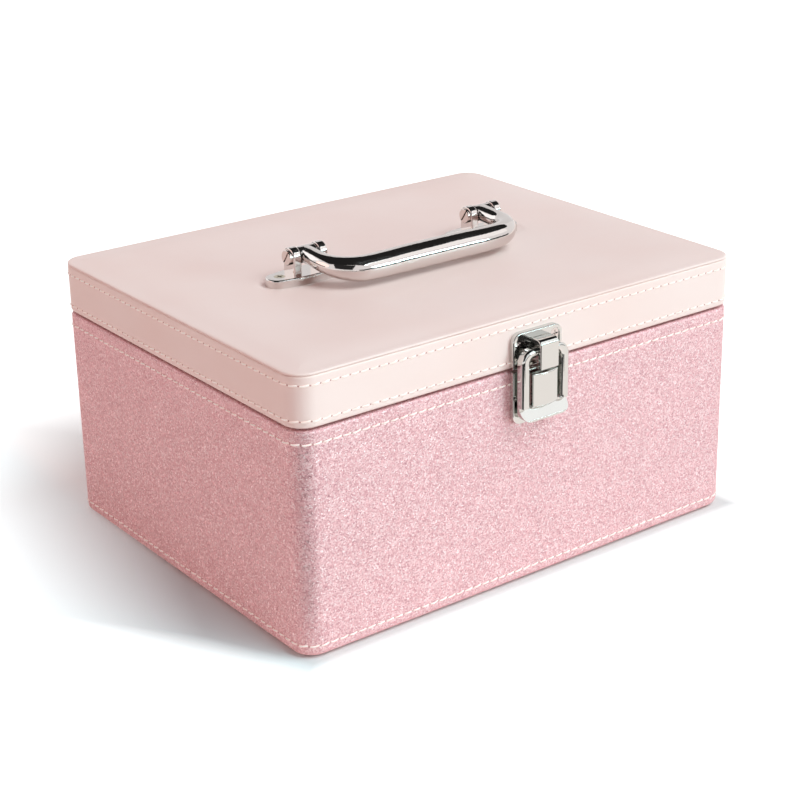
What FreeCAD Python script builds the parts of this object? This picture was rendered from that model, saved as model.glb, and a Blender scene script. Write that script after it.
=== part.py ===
import FreeCAD, Part
import math
import os

from FreeCAD import Vector

# Vanity case with a hinged lid, a swinging carry handle, a ring latch and a
# sliding tray. Millimetres, +X to the right, +Y to the back, +Z up.
# The origin is on the table, under the middle of the case.

os.makedirs("parts", exist_ok=True)

# Case, outside
case_length = 250.0
case_depth = 200.0
body_height = 104.6
lid_gap = 0.6
lid_height = 24.4
corner_radius = 10.0
foot_radius = 3.0
lid_edge_radius = 1.4
band_edge_radius = 1.0

# Layers of the walls
cover_thickness = 1.0
board_thickness = 6.0
lining_thickness = 0.8
lining_setback = 0.4
floor_board_thickness = 4.0
floor_lining_thickness = 1.2
underside_sheet_thickness = 0.8
underside_sheet_inset = 7.0
cover_turn_in = 16.0
sheet_clearance = 0.2

# Lid, from the top down
cap_depth = 1.6
foam_thickness = 2.0
top_board_thickness = 3.0
inner_card_thickness = 2.4
inner_panel_thickness = 3.0
mirror_length = 156.0
mirror_depth = 106.0
mirror_thickness = 2.0
mirror_clearance = 0.2
mirror_lip = 3.0

# Handle
arm_spacing = 103.0
handle_reach = 28.0
handle_bend_radius = 15.5
grip_radius = 6.4
grip_end_share = 0.94
arm_half_width = 4.8
arm_half_height = 4.0
pivot_height = 12.0
grip_height = 9.2
arm_straight = 7.0
arm_stations = 3
bend_steps = 6
ring_points = 16
pivot_screw_radius = 1.7
pivot_fit = 0.05

# Handle brackets
bracket_length = 42.5
bracket_width = 15.5
bracket_thickness = 4.0
bracket_end_radius = 6.0
bracket_edge_radius = 0.8
ear_clearance = 0.3
ear_thickness = 4.2
ear_half_width = 4.5
ear_edge_radius = 0.7
bracket_screw_spacing = 29.0
backing_plate_thickness = 2.0
backing_plate_width = 12.0
backing_plate_length = 42.0
pivot_head_radius = 3.6
pivot_head_thickness = 1.5
pivot_slot_width = 0.9
pivot_slot_depth = 0.75
pivot_slot_turn = 35.0
pivot_head_edge = 0.5

# Screws
screw_radius = 1.5
screw_head_radius = 2.6
screw_head_height = 1.5
screw_clearance = 0.05
screw_drive_width = 0.7
screw_drive_length = 3.2
screw_drive_depth = 0.7

# Latch
latch_width = 28.0
latch_plate_thickness = 2.6
latch_upper_height = 16.3
latch_lower_height = 25.0
latch_line_clearance = 0.3
latch_corner_radius = 4.5
latch_edge_radius = 0.6
latch_rim_width = 1.5
latch_rim_depth = 0.5
latch_upper_screw_spacing = 20.2
latch_upper_screw_drop = 4.6
latch_lower_screw_spacing = 22.4
latch_lower_screw_drop = 12.0
latch_screw_length = 7.0
knuckle_width = 10.5
knuckle_top_drop = 2.6
knuckle_lift = 0.4
knuckle_proud = 10.6
knuckle_crown_radius = 2.4
catch_proud = 9.0
ring_axis_drop = 8.3
ring_axis_out = 6.2
ring_pin_radius = 1.9
ring_pin_fit = 0.05
ring_width = 27.0
ring_side = 4.5
ring_bottom_bar = 5.7
ring_top_margin = 1.9
ring_back_out = 4.7
ring_depth = 3.9
ring_lip_top_out = 6.1
ring_lip_out = 9.3
ring_lip_rise = 1.2
ring_lip_edge = 0.5
ring_bottom_corner = 5.0
ring_top_corner = 6.5
ring_inner_corner = 2.5
ring_edge_radius = 1.8
ring_knuckle_gap = 1.0
catch_width = 14.6
catch_height = 15.7
catch_top_drop = 0.9
catch_crown = 1.4
catch_edge_radius = 0.8
catch_ring_gap = 0.5

# Hinges
hinge_end_distance = 50.0
hinge_width = 30.0
hinge_leaf_height = 15.0
hinge_leaf_thickness = 1.2
hinge_knuckle_radius = 2.6
hinge_axis_out = 2.8
hinge_pin_radius = 1.2
hinge_pin_fit = 0.05
hinge_middle_share = 0.4
hinge_side_clearance = 0.25
hinge_screw_spacing = 19.0
hinge_screw_drop = 9.0
hinge_screw_length = 7.0
lid_open_angle = 100.0
stop_radius = 5.6
stop_thickness = 1.4
stop_clearance = 0.3

# Tray
ledge_width = 5.0
ledge_height = 4.0
ledge_top = 58.0
tray_length = 114.0
tray_height = 36.0
tray_wall = 3.0
tray_floor = 3.0
tray_lining = 1.0
tray_clearance = 0.6
tray_lift = 0.2
divider_thickness = 2.5
divider_drop = 6.0
divider_x_share = 0.42
pull_tab_width = 22.0
pull_tab_thickness = 1.2
pull_tab_rise = 7.0
pull_tab_grip = 14.0

# Levels and half sizes that follow from the sizes above
half_length = case_length / 2
half_depth = case_depth / 2
hinge_offset = half_length - hinge_end_distance
cover_bottom = underside_sheet_thickness
board_bottom = cover_bottom + cover_thickness
floor_top = board_bottom + floor_board_thickness
floor_lining_top = floor_top + floor_lining_thickness
lid_bottom = body_height + lid_gap
lid_top = lid_bottom + lid_height
cap_bottom = lid_top - cap_depth
foam_top = lid_top - cover_thickness
top_board_top = foam_top - foam_thickness
top_board_bottom = top_board_top - top_board_thickness
inner_card_bottom = top_board_bottom - inner_card_thickness
inner_panel_bottom = inner_card_bottom - inner_panel_thickness
wall_inset = cover_thickness + board_thickness
room_half_length = half_length - wall_inset - lining_thickness
room_half_depth = half_depth - wall_inset - lining_thickness
joint_level = (body_height + lid_bottom) / 2
pivot_level = lid_top + pivot_height
grip_level = lid_top + grip_height
arm_half_spacing = arm_spacing / 2
ear_inner = arm_half_width + ear_clearance
ear_outer = ear_inner + ear_thickness
front_face = -half_depth
back_face = half_depth


def block(x0, x1, y0, y1, z0, z1):
    return Part.makeBox(x1 - x0, y1 - y0, z1 - z0, Vector(x0, y0, z0))


def slab(half_x, half_y, z0, z1):
    return block(-half_x, half_x, -half_y, half_y, z0, z1)


def rod(radius, start, direction, length):
    return Part.makeCylinder(radius, length, Vector(*start), Vector(*direction))


def is_upright(edge):
    ends = [vertex.Point for vertex in edge.Vertexes]
    return len(ends) == 2 and abs(ends[0].x - ends[1].x) + abs(ends[0].y - ends[1].y) < 1e-6


def rounded_slab(inset, z0, z1):
    """Slab of the case's plan shape, drawn in from its outside by the inset."""
    solid = slab(half_length - inset, half_depth - inset, z0, z1)
    uprights = [edge for edge in solid.Edges if is_upright(edge)]
    return solid.makeFillet(corner_radius - inset, uprights)


def round_level(solid, level, radius):
    """Round the edges of a solid that lie at one height."""
    edges = [edge for edge in solid.Edges if all(abs(v.Z - level) < 1e-6 for v in edge.Vertexes)]
    return solid.makeFillet(radius, edges)


def outline_slab(points_and_arcs, z0, z1):
    """Upright slab from a closed list of edges drawn at height z0."""
    face = Part.Face(Part.Wire(points_and_arcs))
    return face.extrude(Vector(0, 0, z1 - z0))


def save(name, *solids):
    shape = solids[0] if len(solids) == 1 else Part.makeCompound(solids)
    shape.exportStep(f"parts/{name}.step")


# Screws point from their head into the material. The head's top is at the start.
def screw(start, direction, length):
    shank = rod(screw_radius, start, direction, length)
    head = Part.makeCone(
        screw_head_radius, screw_radius, screw_head_height, Vector(*start), Vector(*direction)
    )
    solid = head.fuse(shank).removeSplitter()
    axis = Vector(*direction)
    across = Vector(1, 0, 0) if abs(axis.x) < 0.5 else Vector(0, 1, 0)
    for side in (across, axis.cross(across)):
        solid = solid.cut(drive_slot(Vector(*start), axis, side))
    return solid


def drive_slot(start, axis, side):
    """Slot of a cross drive, cut down from a screw head's top."""
    other = axis.cross(side)
    reach = screw_drive_length / 2
    corners = []
    for along, over in ((-1, -1), (1, -1), (1, 1), (-1, 1)):
        offset = side * (along * reach) + other * (over * screw_drive_width / 2)
        corners.append(start + offset)
    corners.append(corners[0])
    return Part.Face(Part.makePolygon(corners)).extrude(axis * screw_drive_depth)


def screw_hole(start, direction, length):
    """Countersunk hole that a screw of the same place fits."""
    shank = rod(screw_radius + screw_clearance, start, direction, length + screw_clearance)
    sink = Part.makeCone(
        screw_head_radius + screw_clearance,
        screw_radius + screw_clearance,
        screw_head_height,
        Vector(*start),
        Vector(*direction),
    )
    return sink.fuse(shank)


def drill(solid, holes):
    for hole in holes:
        solid = solid.cut(hole)
    return solid


def side_boards(z0, z1, foot):
    """Four boards of a rounded hoop: front, back, left, right."""
    outer = rounded_slab(cover_thickness, z0, z1)
    if foot > 0:
        outer = round_level(outer, z0, foot)
    hoop = outer.cut(slab(half_length - wall_inset, half_depth - wall_inset, z0 - 1, z1 + 1))
    far = case_length
    inner_y = half_depth - wall_inset
    front = hoop.common(block(-far, far, -far, -inner_y, z0 - 1, z1 + 1))
    back = hoop.common(block(-far, far, inner_y, far, z0 - 1, z1 + 1))
    left = hoop.common(block(-far, 0, -inner_y, inner_y, z0 - 1, z1 + 1))
    right = hoop.common(block(0, far, -inner_y, inner_y, z0 - 1, z1 + 1))
    return [front, back, left, right]


def hoop_lining(z0, z1):
    outer = slab(half_length - wall_inset, half_depth - wall_inset, z0, z1)
    return outer.cut(slab(room_half_length, room_half_depth, z0 - 1, z1 + 1))


# Places of the fasteners
def latch_upper_screws():
    level = lid_bottom + latch_line_clearance + latch_upper_height - latch_upper_screw_drop
    start_y = front_face - latch_plate_thickness + latch_rim_depth
    return [
        ((side * latch_upper_screw_spacing / 2, start_y, level), (0, 1, 0), latch_screw_length)
        for side in (-1, 1)
    ]


def latch_lower_screws():
    level = body_height - latch_line_clearance - latch_lower_screw_drop
    start_y = front_face - latch_plate_thickness
    return [
        ((side * latch_lower_screw_spacing / 2, start_y, level), (0, 1, 0), latch_screw_length)
        for side in (-1, 1)
    ]


def hinge_screws(level):
    start_y = back_face + hinge_leaf_thickness
    places = []
    for hinge in (-hinge_offset, hinge_offset):
        for side in (-1, 1):
            x = hinge + side * hinge_screw_spacing / 2
            places.append(((x, start_y, level), (0, -1, 0), hinge_screw_length))
    return places


def bracket_screws():
    start_z = lid_top + bracket_thickness
    length = start_z - top_board_bottom + backing_plate_thickness
    places = []
    for arm in (-arm_half_spacing, arm_half_spacing):
        for side in (-1, 1):
            x = arm + side * bracket_screw_spacing / 2
            places.append(((x, 0, start_z), (0, 0, -1), length))
    return places


body_hinge_level = joint_level - hinge_screw_drop
lid_hinge_level = joint_level + hinge_screw_drop
body_back_holes = [screw_hole(*place) for place in hinge_screws(body_hinge_level)]
lid_back_holes = [screw_hole(*place) for place in hinge_screws(lid_hinge_level)]
body_front_holes = [screw_hole(*place) for place in latch_lower_screws()]
lid_front_holes = [screw_hole(*place) for place in latch_upper_screws()]
lid_top_holes = [screw_hole(*place) for place in bracket_screws()]


# Body of the case
def make_body():
    board_top = body_height - cover_thickness
    boards = side_boards(board_bottom, board_top, foot_radius - cover_thickness)
    save("body_front_board", drill(boards[0], body_front_holes))
    save("body_back_board", drill(boards[1], body_back_holes))
    save("body_left_board", boards[2])
    save("body_right_board", boards[3])

    inner_x = half_length - wall_inset
    inner_y = half_depth - wall_inset
    save("floor_board", slab(inner_x, inner_y, board_bottom, floor_top))

    cover = round_level(rounded_slab(0, cover_bottom, body_height), cover_bottom, foot_radius)
    hollow = rounded_slab(cover_thickness, board_bottom, board_top)
    cover = cover.cut(round_level(hollow, board_bottom, foot_radius - cover_thickness))
    cover = cover.cut(slab(inner_x, inner_y, board_top - 1, body_height + 1))
    window_x = half_length - cover_turn_in
    window_y = half_depth - cover_turn_in
    cover = cover.cut(slab(window_x, window_y, cover_bottom - 1, board_bottom + 1))
    save("body_cover", drill(cover, body_front_holes + body_back_holes))

    sheet = rounded_slab(underside_sheet_inset, 0, underside_sheet_thickness)
    save("underside_sheet", sheet)
    save("body_wall_lining", hoop_lining(floor_top, body_height - lining_setback))
    floor_x = room_half_length - sheet_clearance
    floor_y = room_half_depth - sheet_clearance
    save("body_floor_lining", slab(floor_x, floor_y, floor_top, floor_lining_top))

    ledge_x = room_half_length - sheet_clearance
    ledge_inner = room_half_depth - ledge_width
    ledge_bottom = ledge_top - ledge_height
    front = block(-ledge_x, ledge_x, -room_half_depth, -ledge_inner, ledge_bottom, ledge_top)
    back = block(-ledge_x, ledge_x, ledge_inner, room_half_depth, ledge_bottom, ledge_top)
    save("front_tray_ledge", front)
    save("back_tray_ledge", back)


# Lid
def make_lid():
    board_bottom_level = lid_bottom + cover_thickness
    boards = side_boards(board_bottom_level, top_board_bottom, 0)
    save("lid_front_board", drill(boards[0], lid_front_holes))
    save("lid_back_board", drill(boards[1], lid_back_holes))
    save("lid_left_board", boards[2])
    save("lid_right_board", boards[3])

    top_board = rounded_slab(cover_thickness, top_board_bottom, top_board_top)
    save("lid_top_board", drill(top_board, lid_top_holes))
    foam_edge = lid_edge_radius - cover_thickness
    foam = rounded_slab(cover_thickness, top_board_top, foam_top)
    foam = round_level(foam, foam_top, foam_edge)
    save("lid_foam", drill(foam, lid_top_holes))

    cap = round_level(rounded_slab(0, cap_bottom, lid_top), lid_top, lid_edge_radius)
    hollow = rounded_slab(cover_thickness, cap_bottom - 1, foam_top)
    cap = cap.cut(round_level(hollow, foam_top, foam_edge))
    save("lid_top_cover", drill(cap, lid_top_holes))

    band = rounded_slab(0, lid_bottom, cap_bottom)
    band = round_level(band, lid_bottom, band_edge_radius)
    band = band.cut(rounded_slab(cover_thickness, board_bottom_level, cap_bottom + 1))
    inner_x = half_length - wall_inset
    inner_y = half_depth - wall_inset
    band = band.cut(slab(inner_x, inner_y, lid_bottom - 1, board_bottom_level + 1))
    save("lid_side_band", drill(band, lid_front_holes + lid_back_holes))

    save("lid_rim_lining", hoop_lining(lid_bottom + lining_setback, inner_panel_bottom))
    panel_x = half_length - wall_inset - sheet_clearance
    panel_y = half_depth - wall_inset - sheet_clearance
    card = slab(panel_x, panel_y, inner_card_bottom, top_board_bottom)
    for arm in (-arm_half_spacing, arm_half_spacing):
        window_x = backing_plate_length / 2 + sheet_clearance
        window_y = backing_plate_width / 2 + sheet_clearance
        window = slab(window_x, window_y, inner_card_bottom - 1, top_board_bottom + 1)
        card = card.cut(window.translated(Vector(arm, 0, 0)))
    save("lid_inner_card", card)

    panel = slab(panel_x, panel_y, inner_panel_bottom, inner_card_bottom)
    rebate_x = mirror_length / 2 + mirror_clearance
    rebate_y = mirror_depth / 2 + mirror_clearance
    rebate_bottom = inner_card_bottom - mirror_thickness - mirror_clearance
    panel = panel.cut(slab(rebate_x, rebate_y, rebate_bottom, inner_card_bottom + 1))
    window_x = mirror_length / 2 - mirror_lip
    window_y = mirror_depth / 2 - mirror_lip
    panel = panel.cut(slab(window_x, window_y, inner_panel_bottom - 1, inner_card_bottom + 1))
    save("lid_inner_panel", panel)
    mirror_bottom = inner_card_bottom - mirror_thickness
    save("mirror_glass", slab(mirror_length / 2, mirror_depth / 2, mirror_bottom, inner_card_bottom))


# Handle brackets, their screws and the plates that the screws pull against
def bracket_plate(z0, z1):
    """Boat-shaped plate along X, centred on the Z axis: long arcs tangent to round ends."""
    half_width = bracket_width / 2
    end = bracket_end_radius
    tip_x = bracket_length / 2
    end_x = tip_x - end
    side_radius = (end_x**2 + half_width**2 - end**2) / (2 * (half_width - end))
    side_centre_y = half_width - side_radius
    touch_x = side_radius * end_x / (side_radius - end)
    touch_y = side_centre_y - side_radius * side_centre_y / (side_radius - end)
    left_back = Vector(-touch_x, touch_y, z0)
    right_back = Vector(touch_x, touch_y, z0)
    left_front = Vector(-touch_x, -touch_y, z0)
    right_front = Vector(touch_x, -touch_y, z0)
    edges = [
        Part.Arc(left_back, Vector(0, half_width, z0), right_back).toShape(),
        Part.Arc(right_back, Vector(tip_x, 0, z0), right_front).toShape(),
        Part.Arc(right_front, Vector(0, -half_width, z0), left_front).toShape(),
        Part.Arc(left_front, Vector(-tip_x, 0, z0), left_back).toShape(),
    ]
    return round_level(outline_slab(edges, z0, z1), z1, bracket_edge_radius)


def bracket_ear(x0, x1):
    """Ear with a round top about the pivot, standing on the bracket plate."""
    foot = lid_top + bracket_thickness / 2
    trunk = block(x0, x1, -ear_half_width, ear_half_width, foot, pivot_level)
    crown = rod(ear_half_width, (x0, 0, pivot_level), (1, 0, 0), x1 - x0)
    ear = trunk.fuse(crown).removeSplitter()
    rims = []
    for edge in ear.Edges:
        middle = edge.CenterOfMass
        on_side = abs(middle.x - x0) < 1e-6 or abs(middle.x - x1) < 1e-6
        if on_side and middle.z > foot + 1e-3:
            rims.append(edge)
    return ear.makeFillet(ear_edge_radius, rims)


def make_bracket(arm):
    bracket = bracket_plate(lid_top, lid_top + bracket_thickness)
    bracket = bracket.fuse(bracket_ear(-ear_outer, -ear_inner))
    bracket = bracket.fuse(bracket_ear(ear_inner, ear_outer))
    bore_radius = pivot_screw_radius + screw_clearance
    bore_length = 2 * (ear_outer + 1)
    bracket = bracket.cut(rod(bore_radius, (-ear_outer - 1, 0, pivot_level), (1, 0, 0), bore_length))
    bracket = bracket.removeSplitter().translated(Vector(arm, 0, 0))
    return drill(bracket, lid_top_holes)


def pivot_screw(arm):
    """Slotted shoulder screw through both ears, with its head on the left."""
    shank_length = 2 * ear_outer
    start_x = arm - ear_outer
    shank = rod(pivot_screw_radius, (start_x, 0, pivot_level), (1, 0, 0), shank_length)
    head = rod(pivot_head_radius, (start_x, 0, pivot_level), (-1, 0, 0), pivot_head_thickness)
    outer_x = start_x - pivot_head_thickness
    rim = [edge for edge in head.Edges if abs(edge.CenterOfMass.x - outer_x) < 1e-6]
    head = head.makeFillet(pivot_head_edge, rim)
    slot = block(
        outer_x - 1,
        outer_x + pivot_slot_depth,
        -pivot_slot_width / 2,
        pivot_slot_width / 2,
        pivot_level - 2 * pivot_head_radius,
        pivot_level + 2 * pivot_head_radius,
    )
    slot.rotate(Vector(arm, 0, pivot_level), Vector(1, 0, 0), pivot_slot_turn)
    return shank.fuse(head).removeSplitter().cut(slot)


def make_handle_mounts():
    save("left_handle_bracket", make_bracket(-arm_half_spacing))
    save("right_handle_bracket", make_bracket(arm_half_spacing))
    save("handle_bracket_screws", *[screw(*place) for place in bracket_screws()])
    plates = []
    for arm in (-arm_half_spacing, arm_half_spacing):
        plate_bottom = top_board_bottom - backing_plate_thickness
        plate = slab(backing_plate_length / 2, backing_plate_width / 2, plate_bottom, top_board_bottom)
        plates.append(drill(plate.translated(Vector(arm, 0, 0)), lid_top_holes))
    save("handle_backing_plates", *plates)
    save("handle_pivot_screws", pivot_screw(-arm_half_spacing), pivot_screw(arm_half_spacing))


# Handle bail, folded to the front
def oval_ring(centre, across, up, half_width, half_height):
    """Closed smooth curve round a point, in the plane of two directions."""
    points = []
    for step in range(ring_points):
        angle = 2 * math.pi * step / ring_points
        offset = across * (half_width * math.cos(angle)) + up * (half_height * math.sin(angle))
        points.append(centre + offset)
    curve = Part.BSplineCurve()
    curve.interpolate(Points=points, PeriodicFlag=True)
    return Part.Wire(curve.toShape())


def smooth(share):
    share = min(max(share, 0.0), 1.0)
    return share * share * (3 - 2 * share)


def handle_section(side, distance, angle):
    """Section of an arm or its bend: distance from the pivot, angle turned towards the grip."""
    bend_start = handle_reach - handle_bend_radius
    run = bend_start + handle_bend_radius * math.pi / 2
    x = side * (arm_half_spacing - handle_bend_radius * (1 - math.cos(angle)))
    y = -min(distance, bend_start) - handle_bend_radius * math.sin(angle)
    z = pivot_level + (grip_level - pivot_level) * smooth(distance / run)
    end_radius = grip_radius * grip_end_share
    share = smooth((distance - arm_straight) / (run - arm_straight))
    half_width = arm_half_width + (end_radius - arm_half_width) * share
    half_height = arm_half_height + (end_radius - arm_half_height) * share
    outward = Vector(side * math.cos(angle), -math.sin(angle), 0)
    return oval_ring(Vector(x, y, z), outward, Vector(0, 0, 1), half_width, half_height)


def grip_section(share):
    """Round section of the grip, at a share of the way from its middle to a bend."""
    x = share * (arm_half_spacing - handle_bend_radius)
    radius = grip_radius * (1 - (1 - grip_end_share) * share * share)
    centre = Vector(x, -handle_reach, grip_level)
    return oval_ring(centre, Vector(0, -1, 0), Vector(0, 0, 1), radius, radius)


def handle_eye(arm):
    """Round end of an arm, about the pivot."""
    start = (arm - arm_half_width, 0, pivot_level)
    eye = rod(arm_half_height, start, (1, 0, 0), 2 * arm_half_width)
    rims = [edge for edge in eye.Edges if abs(edge.Length - 2 * math.pi * arm_half_height) < 1e-6]
    return eye.makeFillet(ear_edge_radius, rims)


def make_handle():
    bend_start = handle_reach - handle_bend_radius
    stations = [(step * bend_start / (arm_stations + 1), 0.0) for step in range(arm_stations)]
    for step in range(bend_steps + 1):
        angle = step * math.pi / 2 / bend_steps
        stations.append((bend_start + handle_bend_radius * angle, angle))
    rings = [handle_section(-1, *station) for station in stations]
    rings += [grip_section(share) for share in (-0.5, 0.0, 0.5)]
    rings += [handle_section(1, *station) for station in reversed(stations)]
    bail = Part.makeLoft(rings, True, False)
    for arm in (-arm_half_spacing, arm_half_spacing):
        bail = bail.fuse(handle_eye(arm))
    bore_radius = pivot_screw_radius + pivot_fit
    for arm in (-arm_half_spacing, arm_half_spacing):
        start = (arm - arm_half_width - 1, 0, pivot_level)
        bail = bail.cut(rod(bore_radius, start, (1, 0, 0), 2 * arm_half_width + 2))
    save("handle_bail", bail)


# Latch
def latch_out(distance):
    """Y of a point that stands this far out from the front of the case."""
    return front_face - distance


def front_plate(half_width, z0, z1, radius, round_top, thickness):
    """Plate on the front face with two rounded corners, at its top or bottom."""
    plate = block(-half_width, half_width, latch_out(thickness), front_face, z0, z1)
    level = z1 if round_top else z0
    corners = []
    for edge in plate.Edges:
        middle = edge.CenterOfMass
        along_y = abs(edge.Vertexes[0].Y - edge.Vertexes[-1].Y) > thickness / 2
        if along_y and abs(middle.z - level) < 1e-6:
            corners.append(edge)
    return plate.makeFillet(radius, corners)


def edges_at_y(solid, y):
    return [edge for edge in solid.Edges if all(abs(v.Y - y) < 1e-6 for v in edge.Vertexes)]


ring_axis_level = lid_bottom + latch_line_clearance + latch_upper_height - ring_axis_drop
catch_top = body_height - catch_top_drop
catch_bottom = catch_top - catch_height
ring_window_bottom = catch_bottom - catch_ring_gap


def make_latch_upper():
    bottom = lid_bottom + latch_line_clearance
    top = bottom + latch_upper_height
    half_width = latch_width / 2
    plate = front_plate(half_width, bottom, top, latch_corner_radius, True, latch_plate_thickness)
    plate = plate.makeFillet(latch_edge_radius, edges_at_y(plate, latch_out(latch_plate_thickness)))
    pocket_half = half_width - latch_rim_width
    pocket_radius = latch_corner_radius - latch_rim_width
    pocket = front_plate(
        pocket_half, bottom + latch_rim_width, top - latch_rim_width, pocket_radius, True, latch_rim_depth
    )
    plate = plate.cut(pocket.translated(Vector(0, latch_rim_depth - latch_plate_thickness, 0)))
    housing_top = top - knuckle_top_drop
    housing_half = knuckle_width / 2
    housing_front = latch_out(knuckle_proud)
    housing = block(
        -housing_half, housing_half, housing_front, front_face, bottom + knuckle_lift, housing_top
    )
    front_edges = edges_at_y(housing, housing_front)
    crown = [edge for edge in front_edges if edge.CenterOfMass.z > housing_top - 1e-6]
    housing = housing.makeFillet(knuckle_crown_radius, crown)
    rims = []
    for edge in housing.Edges:
        middle = edge.CenterOfMass
        on_front = middle.y < latch_out(latch_plate_thickness) - 1e-6
        if on_front and abs(abs(middle.x) - housing_half) < 1e-6:
            rims.append(edge)
    housing = housing.makeFillet(latch_edge_radius, rims)
    plate = plate.fuse(housing).removeSplitter()
    bore_start = (-latch_width, latch_out(ring_axis_out), ring_axis_level)
    bore = rod(ring_pin_radius + ring_pin_fit, bore_start, (1, 0, 0), 2 * latch_width)
    plate = plate.cut(bore)
    save("latch_upper_plate", drill(plate, lid_front_holes))
    save("latch_upper_screws", *[screw(*place) for place in latch_upper_screws()])


def make_latch_lower():
    top = body_height - latch_line_clearance
    bottom = top - latch_lower_height
    plate = front_plate(latch_width / 2, bottom, top, latch_corner_radius, False, latch_plate_thickness)
    plate = plate.makeFillet(latch_edge_radius, edges_at_y(plate, latch_out(latch_plate_thickness)))
    half = catch_width / 2
    side_out = latch_out(catch_proud - catch_crown)
    root = latch_out(latch_plate_thickness / 2)
    left_front = Vector(-half, side_out, catch_bottom)
    right_front = Vector(half, side_out, catch_bottom)
    left_root = Vector(-half, root, catch_bottom)
    right_root = Vector(half, root, catch_bottom)
    crown = Vector(0, latch_out(catch_proud), catch_bottom)
    edges = [
        Part.LineSegment(left_root, left_front).toShape(),
        Part.Arc(left_front, crown, right_front).toShape(),
        Part.LineSegment(right_front, right_root).toShape(),
        Part.LineSegment(right_root, left_root).toShape(),
    ]
    catch = outline_slab(edges, catch_bottom, catch_top)
    front_edges = [edge for edge in catch.Edges if edge.CenterOfMass.y < side_out + 1e-6]
    catch = catch.makeFillet(catch_edge_radius, front_edges)
    plate = plate.fuse(catch).removeSplitter()
    save("latch_lower_plate", drill(plate, body_front_holes))
    save("latch_lower_screws", *[screw(*place) for place in latch_lower_screws()])


def ring_frame(half_width, z0, z1, low_radius, high_radius):
    """Upright slab in the latch ring's plane with rounded corners."""
    back = latch_out(ring_back_out)
    front = latch_out(ring_back_out + ring_depth)
    solid = block(-half_width, half_width, front, back, z0, z1)
    for level, radius in ((z0, low_radius), (z1, high_radius)):
        corners = []
        for edge in solid.Edges:
            across = abs(edge.Vertexes[0].Y - edge.Vertexes[-1].Y) > ring_depth / 2
            if across and abs(edge.CenterOfMass.z - level) < 1e-6:
                corners.append(edge)
        solid = solid.makeFillet(radius, corners)
    return solid


def ring_lip(half_width, bottom):
    """Bottom bar of the ring, leaning out towards its lower edge to lift it by."""
    profile = [
        (ring_back_out, ring_window_bottom),
        (ring_lip_top_out, ring_window_bottom),
        (ring_lip_out, bottom + ring_lip_rise),
        (ring_lip_out, bottom),
        (ring_back_out, bottom),
    ]
    corners = [Vector(-half_width, latch_out(out), z) for out, z in profile]
    bar = Part.Face(Part.makePolygon(corners + corners[:1])).extrude(Vector(2 * half_width, 0, 0))
    bar = bar.common(trimming_slab(half_width, bottom, ring_window_bottom + ring_bottom_corner))
    return bar.makeFillet(ring_lip_edge, edges_at_y(bar, latch_out(ring_lip_out)))


def trimming_slab(half_width, z0, z1):
    """Deep slab with the ring's lower corners, to trim its bottom bar by."""
    reach = 2 * ring_lip_out
    solid = block(-half_width, half_width, latch_out(reach), front_face, z0, z1)
    corners = []
    for edge in solid.Edges:
        across = abs(edge.Vertexes[0].Y - edge.Vertexes[-1].Y) > reach / 2
        if across and abs(edge.CenterOfMass.z - z0) < 1e-6:
            corners.append(edge)
    return solid.makeFillet(ring_bottom_corner, corners)


def make_latch_ring():
    half_width = ring_width / 2
    top = ring_axis_level + ring_top_margin
    bottom = ring_window_bottom - ring_bottom_bar
    window_top = ring_axis_level - ring_top_margin
    outer = ring_frame(half_width, bottom, top, ring_bottom_corner, ring_top_corner)
    inner = ring_frame(
        half_width - ring_side, ring_window_bottom, window_top, ring_inner_corner, ring_inner_corner
    )
    frame = outer.cut(inner)
    front = latch_out(ring_back_out + ring_depth)
    frame = frame.makeFillet(ring_edge_radius, edges_at_y(frame, front))
    step = ring_inner_corner / 2
    above_bar = block(-ring_width, ring_width, front - 1, front_face, ring_window_bottom + step, top + 1)
    behind_bar = block(-ring_width, ring_width, latch_out(ring_lip_top_out), front_face, bottom, top)
    frame = frame.common(above_bar.fuse(behind_bar))
    gap_half = knuckle_width / 2 + ring_knuckle_gap
    frame = frame.cut(block(-gap_half, gap_half, front - 1, front_face, window_top - 1, top + 1))
    pin_start = (-gap_half - ring_pin_radius, latch_out(ring_axis_out), ring_axis_level)
    pin = rod(ring_pin_radius, pin_start, (1, 0, 0), 2 * (gap_half + ring_pin_radius))
    lip = ring_lip(half_width, bottom)
    save("latch_ring", frame.fuse(lip).fuse(pin).removeSplitter())


# Hinges on the back of the case
hinge_axis_y = back_face + hinge_axis_out


def knuckle_spans():
    """X spans of the middle knuckle and the two outer ones, about the hinge's middle."""
    half = hinge_width / 2
    middle = half * hinge_middle_share
    return [(-middle, middle)], [(-half, -middle), (middle, half)]


def knuckle(span):
    start, end = span
    length = end - start - 2 * hinge_side_clearance
    start_point = (start + hinge_side_clearance, hinge_axis_y, joint_level)
    return rod(hinge_knuckle_radius, start_point, (1, 0, 0), length)


def knuckle_room(span):
    start, end = span
    radius = hinge_knuckle_radius + hinge_side_clearance
    return rod(radius, (start, hinge_axis_y, joint_level), (1, 0, 0), end - start)


def hinge_leaf(own_spans, other_spans, z0, z1):
    half = hinge_width / 2
    leaf = block(-half, half, back_face, back_face + hinge_leaf_thickness, z0, z1)
    for span in other_spans:
        leaf = leaf.cut(knuckle_room(span))
    for span in own_spans:
        leaf = leaf.fuse(knuckle(span))
    return leaf.removeSplitter()


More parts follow.
